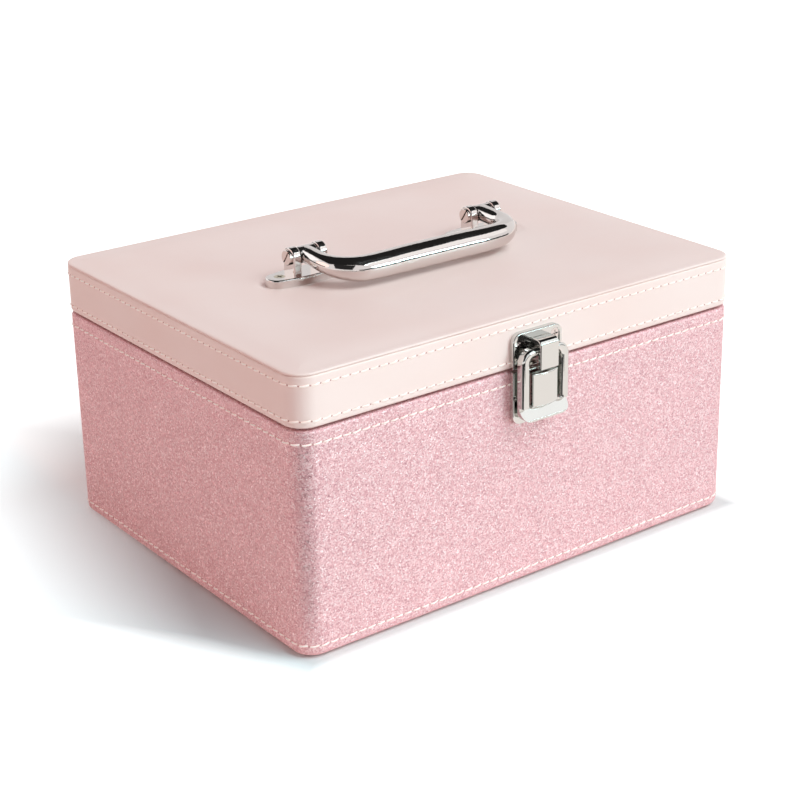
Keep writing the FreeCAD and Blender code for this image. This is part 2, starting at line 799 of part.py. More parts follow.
def stop_nib():
    """Nib on the middle knuckle that meets the body leaf when the lid is open."""
    leaf_out = hinge_axis_out - hinge_leaf_thickness
    lean = math.degrees(math.asin(leaf_out / stop_radius))
    clear = math.degrees((stop_clearance + stop_thickness / 2) / stop_radius)
    direction = lid_open_angle - 90 - lean + clear
    length = 2 * hinge_width / 2 * hinge_middle_share - 2 * hinge_side_clearance
    half = stop_thickness / 2
    nib = block(-length / 2, length / 2, 0, stop_radius, -half, half)
    nib.rotate(Vector(0, 0, 0), Vector(1, 0, 0), direction)
    return nib.translated(Vector(0, hinge_axis_y, joint_level))


def make_hinges():
    middle, outer = knuckle_spans()
    body_leaf = hinge_leaf(outer, middle, joint_level - hinge_leaf_height, body_height)
    lid_leaf = hinge_leaf(middle, outer, lid_bottom, joint_level + hinge_leaf_height)
    lid_leaf = lid_leaf.fuse(stop_nib()).removeSplitter()
    pin_hole = rod(
        hinge_pin_radius + hinge_pin_fit,
        (-hinge_width, hinge_axis_y, joint_level),
        (1, 0, 0),
        2 * hinge_width,
    )
    body_leaf = body_leaf.cut(pin_hole)
    lid_leaf = lid_leaf.cut(pin_hole)
    pin_start = (-hinge_width / 2, hinge_axis_y, joint_level)
    pin = rod(hinge_pin_radius, pin_start, (1, 0, 0), hinge_width)
    for side, x in (("left", -hinge_offset), ("right", hinge_offset)):
        place = Vector(x, 0, 0)
        save(f"{side}_hinge_body_leaf", drill(body_leaf.translated(place), body_back_holes))
        save(f"{side}_hinge_lid_leaf", drill(lid_leaf.translated(place), lid_back_holes))
        save(f"{side}_hinge_pin", pin.translated(place))
    save("hinge_body_screws", *[screw(*place) for place in hinge_screws(body_hinge_level)])
    save("hinge_lid_screws", *[screw(*place) for place in hinge_screws(lid_hinge_level)])


# Tray, at the left end of its ledges
def make_tray():
    x0 = -room_half_length + tray_clearance
    x1 = x0 + tray_length
    y1 = room_half_depth - tray_clearance
    z0 = ledge_top + tray_lift
    z1 = z0 + tray_height
    floor_level = z0 + tray_floor
    lining_level = floor_level + tray_lining
    save("tray_floor", block(x0, x1, -y1, y1, z0, floor_level))
    save("tray_left_wall", block(x0, x0 + tray_wall, -y1, y1, floor_level, z1))
    save("tray_right_wall", block(x1 - tray_wall, x1, -y1, y1, floor_level, z1))
    in_x0 = x0 + tray_wall
    in_x1 = x1 - tray_wall
    in_y = y1 - tray_wall
    save("tray_front_wall", block(in_x0, in_x1, -y1, -in_y, floor_level, z1))
    save("tray_back_wall", block(in_x0, in_x1, in_y, y1, floor_level, z1))
    save("tray_lining", block(in_x0, in_x1, -in_y, in_y, floor_level, lining_level))

    divider_top = z1 - divider_drop
    split_x = in_x0 + (in_x1 - in_x0) * divider_x_share
    save(
        "tray_long_divider",
        block(split_x, split_x + divider_thickness, -in_y, in_y, lining_level, divider_top),
    )
    half = divider_thickness / 2
    cross = [
        block(split_x + divider_thickness, in_x1, y - half, y + half, lining_level, divider_top)
        for y in (-in_y / 3, in_y / 3)
    ]
    cross.append(block(in_x0, split_x, -half, half, lining_level, divider_top))
    save("tray_cross_dividers", *cross)

    tab_x = in_x1 - pull_tab_thickness
    tab_half = pull_tab_width / 2
    save(
        "tray_pull_tab",
        block(tab_x, in_x1, -tab_half, tab_half, z1 - pull_tab_grip, z1 + pull_tab_rise),
    )


make_body()
make_lid()
make_handle_mounts()
make_handle()
make_latch_upper()
make_latch_lower()
make_latch_ring()
make_hinges()
make_tray()
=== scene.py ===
import math

import bmesh
import bpy
from mathutils import Matrix, Vector, noise


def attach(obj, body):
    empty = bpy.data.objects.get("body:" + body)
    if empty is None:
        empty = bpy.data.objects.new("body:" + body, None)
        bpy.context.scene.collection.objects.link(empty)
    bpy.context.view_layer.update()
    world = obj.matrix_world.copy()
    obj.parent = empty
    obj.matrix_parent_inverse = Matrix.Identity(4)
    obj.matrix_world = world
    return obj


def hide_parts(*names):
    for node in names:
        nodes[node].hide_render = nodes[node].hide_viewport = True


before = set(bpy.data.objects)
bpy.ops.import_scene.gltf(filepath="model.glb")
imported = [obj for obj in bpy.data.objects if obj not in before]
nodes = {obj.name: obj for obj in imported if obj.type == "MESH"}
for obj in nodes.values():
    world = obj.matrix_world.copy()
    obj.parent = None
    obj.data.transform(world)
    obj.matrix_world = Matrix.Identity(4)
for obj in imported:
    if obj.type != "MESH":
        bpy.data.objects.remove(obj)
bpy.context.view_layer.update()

mm = 0.001  # every size below is in millimetres
scene = bpy.context.scene
casePlan = {
    "halfX": 125.0,
    "halfY": 100.0,
    "radius": 10.0,
    "cornerSteps": 14,
}
print("frame loaded with", len(nodes), "nodes")


# Small helpers

def linear(hexColour):
    # sRGB hex, as a colour chart gives it, to the linear values that shaders take
    channels = [int(hexColour[i:i + 2], 16) / 255 for i in (0, 2, 4)]
    return tuple(c / 12.92 if c <= 0.04045 else ((c + 0.055) / 1.055) ** 2.4 for c in channels) + (1.0,)


def addNode(tree, kind, settings=None, values=None, links=None):
    # one node with its settings, its plain values and what is plugged into it
    node = tree.nodes.new(kind)
    for key, value in (settings or {}).items():
        setattr(node, key, value)
    for key, value in (values or {}).items():
        node.inputs[key].default_value = value
    for key, source in (links or {}).items():
        tree.links.new(source, node.inputs[key])
    return node


def startMaterial(name, values):
    # a new material with one Principled shader that carries the plain values
    material = bpy.data.materials.new(name)
    material.use_nodes = True
    tree = material.node_tree
    tree.nodes.clear()
    shader = addNode(tree, "ShaderNodeBsdfPrincipled", values=values)
    addNode(tree, "ShaderNodeOutputMaterial", links={"Surface": shader.outputs["BSDF"]})
    place = addNode(tree, "ShaderNodeTexCoord").outputs["Object"]
    return material, tree, shader, place


def fillRamp(ramp, stops):
    # colour stops as (position, hex); the first and last use the ramp's own two
    elements = ramp.color_ramp.elements
    while len(elements) < len(stops):
        elements.new(0.5)
    for element, (position, colour) in zip(elements, stops):
        element.position = position
        element.color = linear(colour)


def perMetre(sizeInMm):
    return 1 / (sizeInMm * mm)


def buildObject(name, points, faces, material, sharpAngle=40):
    mesh = bpy.data.meshes.new(name)
    mesh.from_pydata([tuple(c * mm for c in p) for p in points], [], faces)
    bm = bmesh.new()
    bm.from_mesh(mesh)
    bmesh.ops.remove_doubles(bm, verts=bm.verts, dist=0.002 * mm)
    bm.to_mesh(mesh)
    bm.free()
    mesh.shade_smooth()
    mesh.set_sharp_from_angle(angle=math.radians(sharpAngle))
    mesh.materials.append(material)
    obj = bpy.data.objects.new(name, mesh)
    scene.collection.objects.link(obj)
    return obj


# Camera, light and floor

studioView = {
    "lens": 83.29,  # long lens, so the sides hardly converge
    "sensor": 36.0,
    "place": (-496.0, -674.3, 396.0),
    "yaw": 37.70,
    "pitch": 20.88,
    "roll": -0.72,
    "shiftX": -0.05,
    "shiftY": -0.05,
}


def makeCamera(view):
    yaw, pitch, roll = (math.radians(view[key]) for key in ("yaw", "pitch", "roll"))
    ahead = Vector((math.sin(yaw) * math.cos(pitch), math.cos(yaw) * math.cos(pitch), -math.sin(pitch)))
    level = Vector((math.cos(yaw), -math.sin(yaw), 0))
    upright = level.cross(ahead)
    right = level * math.cos(roll) + upright * math.sin(roll)
    up = upright * math.cos(roll) - level * math.sin(roll)
    data = bpy.data.cameras.new("studioCamera")
    data.sensor_width = view["sensor"]
    data.lens = view["lens"]
    data.shift_x, data.shift_y = view["shiftX"], view["shiftY"]
    data.clip_start, data.clip_end = 0.01, 50
    camera = bpy.data.objects.new("studioCamera", data)
    turn = Matrix((right, up, -ahead)).transposed()
    camera.matrix_world = Matrix.Translation(Vector(view["place"]) * mm) @ turn.to_4x4()
    scene.collection.objects.link(camera)
    scene.camera = camera


def makeWorld(ambient, tint):
    # white where the camera, metal or glass sees it, and a softer level that lights the object
    world = bpy.data.worlds.new("studioWorld")
    world.use_nodes = True
    tree = world.node_tree
    tree.nodes.clear()
    ray = addNode(tree, "ShaderNodeLightPath").outputs
    seen = addNode(
        tree, "ShaderNodeMath", {"operation": "MAXIMUM"},
        links={0: ray["Is Camera Ray"], 1: ray["Is Glossy Ray"]},
    )
    seen = addNode(
        tree, "ShaderNodeMath", {"operation": "MAXIMUM"},
        links={0: seen.outputs[0], 1: ray["Is Transmission Ray"]},
    )
    soft = addNode(
        tree, "ShaderNodeBackground", values={"Color": linear(tint), "Strength": ambient},
    )
    white = addNode(tree, "ShaderNodeBackground", values={"Color": (1, 1, 1, 1), "Strength": 1.0})
    mixed = addNode(
        tree, "ShaderNodeMixShader",
        links={0: seen.outputs[0], 1: soft.outputs[0], 2: white.outputs[0]},
    )
    addNode(tree, "ShaderNodeOutputWorld", links={"Surface": mixed.outputs[0]})
    scene.world = world


def addSun(name, fromDirection, level, softness, tint):
    # a level of 1 makes a white card that faces the lamp render as white
    data = bpy.data.lights.new(name, "SUN")
    data.energy = level * math.pi
    data.angle = math.radians(softness)
    data.color = linear(tint)[:3]
    lamp = bpy.data.objects.new(name, data)
    lamp.rotation_mode = "QUATERNION"
    lamp.rotation_quaternion = Vector(fromDirection).to_track_quat("Z", "Y")
    scene.collection.objects.link(lamp)
    return lamp


def addCard(name, centre, width, height, level, flatTurn=None):
    # a studio card that only reflections see: it faces the case, or lies flat with a turn in degrees
    material = bpy.data.materials.new(name)
    material.use_nodes = True
    tree = material.node_tree
    tree.nodes.clear()
    glow = addNode(tree, "ShaderNodeEmission", values={"Color": (1, 1, 1, 1), "Strength": level})
    addNode(tree, "ShaderNodeOutputMaterial", links={"Surface": glow.outputs[0]})
    signs = ((-1, -1), (1, -1), (1, 1), (-1, 1))
    corners = [(signX * width / 2, signY * height / 2, 0) for signX, signY in signs]
    mesh = bpy.data.meshes.new(name)
    turn = (-Vector(centre)).to_track_quat("Z", "Y").to_matrix().to_4x4()
    if flatTurn is not None:
        turn = Matrix.Rotation(math.radians(flatTurn), 4, "Z")
    place = Matrix.Translation(Vector(centre)) @ turn
    mesh.from_pydata([place @ Vector(c) for c in corners], [], [(0, 1, 2, 3)])
    mesh.materials.append(material)
    card = bpy.data.objects.new(name, mesh)
    scene.collection.objects.link(card)
    card.visible_camera = card.visible_diffuse = card.visible_transmission = False
    card.visible_volume_scatter = card.visible_shadow = False


def makeFloor(size):
    # pale paper sweep; the camera sees it lifted to white outside the shadow that the key light throws
    material = bpy.data.materials.new("paleStudioPaper")
    material.use_nodes = True
    tree = material.node_tree
    tree.nodes.clear()
    ray = addNode(tree, "ShaderNodeLightPath").outputs
    bounce = addNode(tree, "ShaderNodeBsdfDiffuse", values={"Color": linear(size["bounceColour"])})
    place = addNode(tree, "ShaderNodeTexCoord").outputs["Object"]
    across = addNode(tree, "ShaderNodeSeparateXYZ", links={"Vector": place}).outputs["X"]
    across = addNode(
        tree, "ShaderNodeMapRange",
        values={"From Min": size["coolUpTo"] * mm, "From Max": size["warmFrom"] * mm},
        links={"Value": across},
    )
    hue = addNode(tree, "ShaderNodeValToRGB", links={"Fac": across.outputs[0]})
    fillRamp(hue, [(0.0, size["coolColour"]), (1.0, size["warmColour"])])
    paper = addNode(tree, "ShaderNodeBsdfDiffuse", links={"Color": hue.outputs["Color"]})
    paper = addNode(
        tree, "ShaderNodeMixShader",
        links={0: ray["Is Camera Ray"], 1: bounce.outputs[0], 2: paper.outputs[0]},
    )
    share = None
    for alongX, alongY, start in size["risesAlong"]:
        slope = (alongX / mm, alongY / mm, 0)
        out = addNode(
            tree, "ShaderNodeVectorMath", {"operation": "DOT_PRODUCT"}, {1: slope}, {0: place},
        )
        out = addNode(
            tree, "ShaderNodeMath", {"operation": "ADD"}, {1: start}, {0: out.outputs["Value"]},
        )
        if share:
            out = addNode(
                tree, "ShaderNodeMath", {"operation": "MAXIMUM"},
                links={0: share.outputs[0], 1: out.outputs[0]},
            )
        share = out
    rise = addNode(
        tree, "ShaderNodeMapRange", values={"To Max": size["shownLift"]},
        links={"Value": share.outputs[0]},
    )
    mirrored = addNode(
        tree, "ShaderNodeMath", {"operation": "MAXIMUM"},
        links={0: ray["Is Glossy Ray"], 1: ray["Is Transmission Ray"]},
    )
    mirrored = addNode(
        tree, "ShaderNodeMath", {"operation": "MULTIPLY"}, {1: size["mirroredLift"]},
        {0: mirrored.outputs[0]},
    )
    seen = addNode(
        tree, "ShaderNodeMath", {"operation": "MULTIPLY"},
        links={0: rise.outputs[0], 1: ray["Is Camera Ray"]},
    )
    shown = paper
    for tint, strength in (("ffffff", seen), (size["mirroredTint"], mirrored)):
        lift = addNode(
            tree, "ShaderNodeEmission", values={"Color": linear(tint)},
            links={"Strength": strength.outputs[0]},
        )
        shown = addNode(
            tree, "ShaderNodeAddShader", links={0: shown.outputs[0], 1: lift.outputs[0]},
        )
    addNode(tree, "ShaderNodeOutputMaterial", links={"Surface": shown.outputs[0]})
    half, level = size["half"], -0.05 * mm
    mesh = bpy.data.meshes.new("studioFloor")
    corners = [(-half, -half, level), (half, -half, level), (half, half, level), (-half, half, level)]
    mesh.from_pydata(corners, [], [(0, 1, 2, 3)])
    mesh.materials.append(material)
    floor = bpy.data.objects.new("studioFloor", mesh)
    scene.collection.objects.link(floor)


studio = {
    "keyFrom": (0.32, -0.52, 0.79),  # soft box high at the front right
    "keyLevel": 0.66,
    "keySoftness": 42,
    "keyTint": "e9fbff",
    "stripFrom": (0.50, -0.86, 0.12),  # tall strip at the front right, nearly level
    "stripLevel": 0.375,
    "stripSoftness": 20,
    "stripTint": "cefcff",
    "fillFrom": (-0.90, 0.35, 0.28),  # bounce card at the left
    "fillLevel": 0.094,
    "fillSoftness": 40,
    "fillTint": "ffbca6",
    "ambient": 0.43,
    "ambientTint": "f9dfde",
}
studioFloor = {
    "half": 6.0,  # metres
    "coolColour": "dbecee",  # at the left, where the pink side warms the shadow
    "warmColour": "e8ebea",
    "coolUpTo": -128.0,
    "warmFrom": -112.0,
    "bounceColour": "ecdfdc",
    "shownLift": 0.62,
    "mirroredLift": 0.42,
    "mirroredTint": "f6fff6",
    # the lift rises along x and y per millimetre from a start: in front, at the right, past the shadow's
    # front edge, out of the shadow to the left, and behind
    "risesAlong": (
        (0.0, -0.10, -10.1),
        (0.10, 0.0, -12.6),
        (-0.056, -0.027, -9.55),
        (-0.0119, 0.0043, -1.50),
        (0.0, 0.012, -1.9),
    ),
}
# cards that only reflections see: place in metres, width, height, level,
# and the turn of one that lies flat
studioCards = {
    "flagOverhead": ((0.10, 0.10, 1.30), 2.4, 2.4, 0.02),
    "flagCameraSide": ((-0.78, -0.60, 0.66), 0.9, 0.85, 0.03),
    "flagLowFront": ((0.70, -1.60, 0.22), 3.0, 0.30, 0.05),
    "flagLowBack": ((-1.10, 1.35, 0.22), 3.0, 0.30, 0.05),
    "softBoxFront": ((0.66, -0.65, 0.75), 0.95, 0.42, 1.25),
    "softBoxBack": ((-0.38, 0.95, 0.62), 0.9, 0.5, 1.5),
    "greyCardBack": ((0.72, 0.90, 0.45), 1.1, 0.8, 0.85),
    "flagFloorLeft": ((-0.50, -0.240, 0.002), 0.74, 0.24, 0.05, 0),
    "flagFloorCamera": ((-0.60, -0.86, 0.002), 1.20, 1.00, 0.05, 0),
}

makeCamera(studioView)
makeWorld(studio["ambient"], studio["ambientTint"])
for lamp in ("key", "strip", "fill"):
    addSun(lamp + "Light", *[studio[lamp + part] for part in ("From", "Level", "Softness", "Tint")])
makeFloor(studioFloor)
for cardName, card in studioCards.items():
    addCard(cardName, *card)
scene.view_settings.view_transform = "Standard"
print("camera, light and floor are set")


# Finishes

def glitterLeather():
    # PVC leather cloth strewn with polyester glitter under a clear binder:
    # pale flakes that flash one by one
    material, tree, shader, place = startMaterial(
        "glitterPvcLeather",
        {
            "IOR": 1.5, "Specular Tint": linear("eeb2b8"), "Coat Weight": 0.04,
            "Coat Roughness": 0.30,
        },
    )
    flakeSize = 0.52  # millimetres; real flakes are 0.2, too fine to show
    flakes = addNode(
        tree, "ShaderNodeTexVoronoi", values={"Scale": perMetre(flakeSize)},
        links={"Vector": place},
    )
    chance = addNode(
        tree, "ShaderNodeSeparateColor", links={"Color": flakes.outputs["Color"]},
    ).outputs
    ramp = addNode(tree, "ShaderNodeValToRGB", links={"Fac": chance["Red"]})
    flakeColours = [(0.0, "c8969d"), (0.25, "ddaaaf"), (0.55, "e8bcbf"), (0.82, "efccce"), (1.0, "f8e2e3")]
    fillRamp(ramp, flakeColours)
    drift = addNode(
        tree, "ShaderNodeTexNoise", values={"Scale": perMetre(14), "Detail": 2.0},
        links={"Vector": place},
    )
    shade = addNode(
        tree, "ShaderNodeMapRange", values={"To Min": 0.95, "To Max": 1.05},
        links={"Value": drift.outputs["Fac"]},
    )
    tinted = addNode(
        tree, "ShaderNodeVectorMath", {"operation": "SCALE"},
        links={0: ramp.outputs["Color"], "Scale": shade.outputs[0]},
    )
    tree.links.new(tinted.outputs[0], shader.inputs["Base Color"])
    gloss = addNode(
        tree, "ShaderNodeMapRange", values={"To Min": 0.42, "To Max": 0.66},
        links={"Value": chance["Green"]},
    )
    tree.links.new(gloss.outputs[0], shader.inputs["Roughness"])
    foil = addNode(
        tree, "ShaderNodeMapRange",
        values={"From Min": 0.68, "From Max": 0.78, "To Min": 0.12, "To Max": 0.92},
        links={"Value": chance["Blue"]},
    )
    tree.links.new(foil.outputs[0], shader.inputs["Metallic"])
    # foil flakes stand up most
    steep = addNode(
        tree, "ShaderNodeMath", {"operation": "POWER"}, {1: 2.0}, {0: foil.outputs[0]},
    )
    facing = addNode(tree, "ShaderNodeNewGeometry").outputs["Normal"]
    lean = addNode(
        tree, "ShaderNodeVectorMath", {"operation": "SUBTRACT"}, {1: (0.5, 0.5, 0.5)},
        {0: flakes.outputs["Color"]},
    )
    lean = addNode(
        tree, "ShaderNodeVectorMath", {"operation": "SCALE"}, {"Scale": 0.38}, {0: lean.outputs[0]},
    )
    lean = addNode(
        tree, "ShaderNodeVectorMath", {"operation": "SCALE"},
        links={0: lean.outputs[0], "Scale": steep.outputs[0]},
    )
    tilted = addNode(
        tree, "ShaderNodeVectorMath", {"operation": "ADD"}, links={0: facing, 1: lean.outputs[0]},
    )
    tilted = addNode(
        tree, "ShaderNodeVectorMath", {"operation": "NORMALIZE"}, links={0: tilted.outputs[0]},
    )
    tree.links.new(tilted.outputs[0], shader.inputs["Normal"])
    return material


def smoothLeather(name, colours, grain, roughness):
    # coated leather cloth with a fine pressed grain: a low even sheen over a soft colour
    material, tree, shader, place = startMaterial(name, {"IOR": 1.5})
    pores = addNode(
        tree, "ShaderNodeTexVoronoi", {"feature": "DISTANCE_TO_EDGE"}, {"Scale": perMetre(grain)},
        {"Vector": place},
    )
    pressed = addNode(
        tree, "ShaderNodeMapRange", values={"From Max": 0.25},
        links={"Value": pores.outputs["Distance"]},
    )
    bump = addNode(
        tree, "ShaderNodeBump", values={"Strength": 0.10, "Distance": 0.05 * mm},
        links={"Height": pressed.outputs[0]},
    )
    tree.links.new(bump.outputs["Normal"], shader.inputs["Normal"])
    drift = addNode(
        tree, "ShaderNodeTexNoise", values={"Scale": perMetre(60), "Detail": 3.0},
        links={"Vector": place},
    )
    ramp = addNode(tree, "ShaderNodeValToRGB", links={"Fac": drift.outputs["Fac"]})
    fillRamp(ramp, [(0.30, colours[0]), (0.70, colours[1])])
    tree.links.new(ramp.outputs["Color"], shader.inputs["Base Color"])
    rub = addNode(
        tree, "ShaderNodeTexNoise", values={"Scale": perMetre(9), "Detail": 4.0},
        links={"Vector": place},
    )
    gloss = addNode(
        tree, "ShaderNodeMapRange", values={"To Min": roughness - 0.05, "To Max": roughness + 0.05},
        links={"Value": rub.outputs["Fac"]},
    )
    tree.links.new(gloss.outputs[0], shader.inputs["Roughness"])
    return material


def platedMetal(name, colour, roughness, streak):
    # bright plating on a polished casting: mirror-like, with the haze of handling
    material, tree, shader, place = startMaterial(
        name, {"Base Color": linear(colour), "Metallic": 1.0},
    )
    haze = addNode(
        tree, "ShaderNodeTexNoise", values={"Scale": perMetre(7), "Detail": 5.0, "Roughness": 0.6},
        links={"Vector": place},
    )
    gloss = addNode(
        tree, "ShaderNodeMapRange",
        values={
            "From Min": 0.35, "From Max": 0.75, "To Min": roughness, "To Max": roughness + 0.07,
        },
        links={"Value": haze.outputs["Fac"]},
    )
    tree.links.new(gloss.outputs[0], shader.inputs["Roughness"])
    wave = addNode(
        tree, "ShaderNodeTexNoise", values={"Scale": perMetre(streak), "Detail": 2.0},
        links={"Vector": place},
    )
    bump = addNode(
        tree, "ShaderNodeBump", values={"Strength": 0.05, "Distance": 0.05 * mm},
        links={"Height": wave.outputs["Fac"]},
    )
    tree.links.new(bump.outputs["Normal"], shader.inputs["Normal"])
    return material


def flockFabric(name, colours):
    # short viscose flock on card: dull from the front, with a pale bloom at glancing angles
    material, tree, shader, place = startMaterial(
        name, {"Sheen Weight": 0.6, "Sheen Roughness": 0.45, "IOR": 1.4},
    )
    pile = addNode(
        tree, "ShaderNodeTexNoise",
        values={"Scale": perMetre(0.9), "Detail": 4.0, "Roughness": 0.7}, links={"Vector": place},
    )
    stroke = addNode(
        tree, "ShaderNodeTexNoise",
        values={"Scale": perMetre(22), "Detail": 2.0, "Distortion": 0.8}, links={"Vector": place},
    )
    both = addNode(
        tree, "ShaderNodeMath", {"operation": "MULTIPLY_ADD"}, {1: 0.25},
        {0: stroke.outputs["Fac"], 2: pile.outputs["Fac"]},
    )
    ramp = addNode(tree, "ShaderNodeValToRGB", links={"Fac": both.outputs[0]})
    fillRamp(ramp, [(0.36, colours[0]), (0.90, colours[1])])
    tree.links.new(ramp.outputs["Color"], shader.inputs["Base Color"])
    bump = addNode(
        tree, "ShaderNodeBump", values={"Strength": 0.5, "Distance": 0.15 * mm},
        links={"Height": pile.outputs["Fac"]},
    )
    tree.links.new(bump.outputs["Normal"], shader.inputs["Normal"])
    gloss = addNode(
        tree, "ShaderNodeMapRange", values={"To Min": 0.80, "To Max": 0.98},
        links={"Value": pile.outputs["Fac"]},
    )
    tree.links.new(gloss.outputs[0], shader.inputs["Roughness"])
    return material


def pressedBoard(name, colours, fibre, roughness):
    # board or card pressed from fibre: matt, with short mixed fibres
    material, tree, shader, place = startMaterial(name, {"IOR": 1.45})
    fibres = addNode(
        tree, "ShaderNodeTexNoise",
        values={"Scale": perMetre(fibre), "Detail": 6.0, "Roughness": 0.75},
        links={"Vector": place},
    )
    ramp = addNode(tree, "ShaderNodeValToRGB", links={"Fac": fibres.outputs["Fac"]})
    fillRamp(ramp, [(0.30, colours[0]), (0.70, colours[1])])
    tree.links.new(ramp.outputs["Color"], shader.inputs["Base Color"])
    gloss = addNode(
        tree, "ShaderNodeMapRange", values={"To Min": roughness - 0.08, "To Max": roughness + 0.08},
        links={"Value": fibres.outputs["Fac"]},
    )
    tree.links.new(gloss.outputs[0], shader.inputs["Roughness"])
    bump = addNode(
        tree, "ShaderNodeBump", values={"Strength": 0.25, "Distance": 0.06 * mm},
        links={"Height": fibres.outputs["Fac"]},
    )
    tree.links.new(bump.outputs["Normal"], shader.inputs["Normal"])
    return material


def sewingThread():
    # twisted polyester thread: pale, with a silky bloom, and a faint glow of painted light
    # that keeps it bright in the shade
    values = {
        "IOR": 1.5,
        "Sheen Weight": 0.6,
        "Sheen Roughness": 0.5,
        # painted light: a faint glow that whitens the thread
        "Emission Color": linear("fff0ea"),
        "Emission Strength": 0.14,
    }
    material, tree, shader, place = startMaterial("polyesterThread", values)
    twist = addNode(
        tree, "ShaderNodeTexWave", {"bands_direction": "DIAGONAL"},
        {"Scale": perMetre(0.35) / 20, "Distortion": 0.5}, {"Vector": place},
    )
    ramp = addNode(tree, "ShaderNodeValToRGB", links={"Fac": twist.outputs["Fac"]})
    fillRamp(ramp, [(0.0, "fae3da"), (1.0, "fff3ed")])
    tree.links.new(ramp.outputs["Color"], shader.inputs["Base Color"])
    gloss = addNode(
        tree, "ShaderNodeMapRange", values={"To Min": 0.45, "To Max": 0.65},
        links={"Value": twist.outputs["Fac"]},
    )
    tree.links.new(gloss.outputs[0], shader.inputs["Roughness"])
    return material


def mirrorGlass():
    # silvered float glass: a clean reflection with a trace of green
    material, tree, shader, place = startMaterial(
        "silveredGlass", {"Base Color": linear("eef2f0"), "Metallic": 1.0},
    )
    dust = addNode(
        tree, "ShaderNodeTexNoise", values={"Scale": perMetre(30), "Detail": 4.0},
        links={"Vector": place},
    )
    gloss = addNode(
        tree, "ShaderNodeMapRange", values={"From Min": 0.4, "To Min": 0.01, "To Max": 0.05},
        links={"Value": dust.outputs["Fac"]},
    )
    tree.links.new(gloss.outputs[0], shader.inputs["Roughness"])
    return material


def needleHole(name, colour):
    # the pit that a needle leaves in leather cloth, its shade painted dark into the colour
    material, tree, shader, place = startMaterial(name, {"IOR": 1.3, "Specular IOR Level": 0.1})
    grit = addNode(
        tree, "ShaderNodeTexNoise", values={"Scale": perMetre(0.3)}, links={"Vector": place},
    )
    ramp = addNode(tree, "ShaderNodeValToRGB", links={"Fac": grit.outputs["Fac"]})
    fillRamp(ramp, [(0.2, colour), (1.0, "dcb9b2")])
    tree.links.new(ramp.outputs["Color"], shader.inputs["Base Color"])
    shader.inputs["Roughness"].default_value = 0.9
    return material


glitter = glitterLeather()
paleLeather = smoothLeather("smoothPuLeather", ("f6ded7", "f8e4de"), 0.55, 0.42)
tabLeather = smoothLeather("pullTabPuLeather", ("dfa6a6", "e6b2b0"), 0.7, 0.5)
# the warm tint in the chrome's colour is a painted pink reflection of the case
chrome = platedMetal("castingChromePlate", "d9d1ce", 0.035, 9)
pressedChrome = platedMetal("pressingChromePlate", "d7d7d4", 0.035, 9)
steel = platedMetal("nickelPlatedSteel", "c9c6c0", 0.16, 3)
zinc = platedMetal("yellowZincPlatedSteel", "c3b8a4", 0.18, 3)
nickel = platedMetal("brightNickelPlatedSteel", "dccfca", 0.11, 3)
flock = flockFabric("viscoseFlock", ("d9a9aa", "e9c4c2"))
flockDark = flockFabric("viscoseFlockBoard", ("d3a0a2", "e4bbba"))
fibreboard = pressedBoard("mediumDensityFibreboard", ("a88660", "c0a078"), 1.2, 0.85)
greyCard = pressedBoard("greyBookbindersCard", ("8f8d88", "a5a39d"), 1.0, 0.85)
underPaper = pressedBoard("blackBackingPaper", ("2b2a2c", "3a393b"), 0.8, 0.8)
paddingFoam = pressedBoard("polyetherFoam", ("ece6d2", "f4efdf"), 1.5, 0.95)
thread = sewingThread()
mirror = mirrorGlass()
# dark pink painted shade for the needle holes
pit = needleHole("needlePitPaintedShade", "b88d86")
print("finishes are made")


# Rounded rings round the case, the base of every wrapped cover

def evenStops(half, step):
    count = max(2, round(2 * half / step))
    return [-half + 2 * half * i / count for i in range(count + 1)]


def ringAt(plan, inset, level):
    # a closed ring round the plan, drawn in by the inset and counted the same way at every inset
    radius = max(plan["radius"] - inset, 0.0)
    centreX = plan["halfX"] - inset - radius
    centreY = plan["halfY"] - inset - radius
    shareX = centreX / (plan["halfX"] - plan["radius"])
    shareY = centreY / (plan["halfY"] - plan["radius"])
    alongX = [x * shareX for x in plan["stopsX"]]
    alongY = [y * shareY for y in plan["stopsY"]]

    def corner(signX, signY, startAngle):
        steps = plan["cornerSteps"]
        turns = [math.radians(startAngle + 90 * i / steps) for i in range(1, steps)]
        midX, midY = signX * centreX, signY * centreY
        return [(midX + radius * math.cos(a), midY + radius * math.sin(a), level) for a in turns]

    ring = [(x, -centreY - radius, level) for x in alongX] + corner(1, -1, -90)
    ring += [(centreX + radius, y, level) for y in alongY] + corner(1, 1, 0)
    ring += [(x, centreY + radius, level) for x in reversed(alongX)] + corner(-1, 1, 90)
    ring += [(-centreX - radius, y, level) for y in reversed(alongY)] + corner(-1, -1, 180)
    return ring


def arc(inset, level, radius, start, end, steps):
    # section points on an arc: 0 degrees faces outwards, 90 faces up
    turns = [math.radians(start + (end - start) * i / steps) for i in range(steps + 1)]
    return [(inset - radius * math.cos(a), level + radius * math.sin(a)) for a in turns]


def groove(level, depth, halfWidth):
    # the shallow channel that a tight seam pulls into the cover
    shape = [(-1.0, 0.0), (-0.6, 0.35), (-0.25, 0.9), (0.0, 1.0), (0.25, 0.9), (0.6, 0.35), (1.0, 0.0)]
    return [(depth * deep, level + halfWidth * along) for along, deep in shape]


def ringFaces(rings, size, closed):
    faces = []
    for low in range(rings if closed else rings - 1):
        high = (low + 1) % rings
        for j in range(size):
            k = (j + 1) % size
            faces.append((low * size + j, low * size + k, high * size + k, high * size + j))
    return faces


def sweptCover(name, plan, section, material):
    # a cover of cloth wrapped round the case: a closed section carried round the plan
    points = [p for inset, level in section for p in ringAt(plan, inset, level)]
    size = len(points) // len(section)
    return buildObject(name, points, ringFaces(len(section), size, True), material)


casePlan["stopsX"] = evenStops(casePlan["halfX"] - casePlan["radius"], 6)
casePlan["stopsY"] = evenStops(casePlan["halfY"] - casePlan["radius"], 6)


# Glitter cover of the body

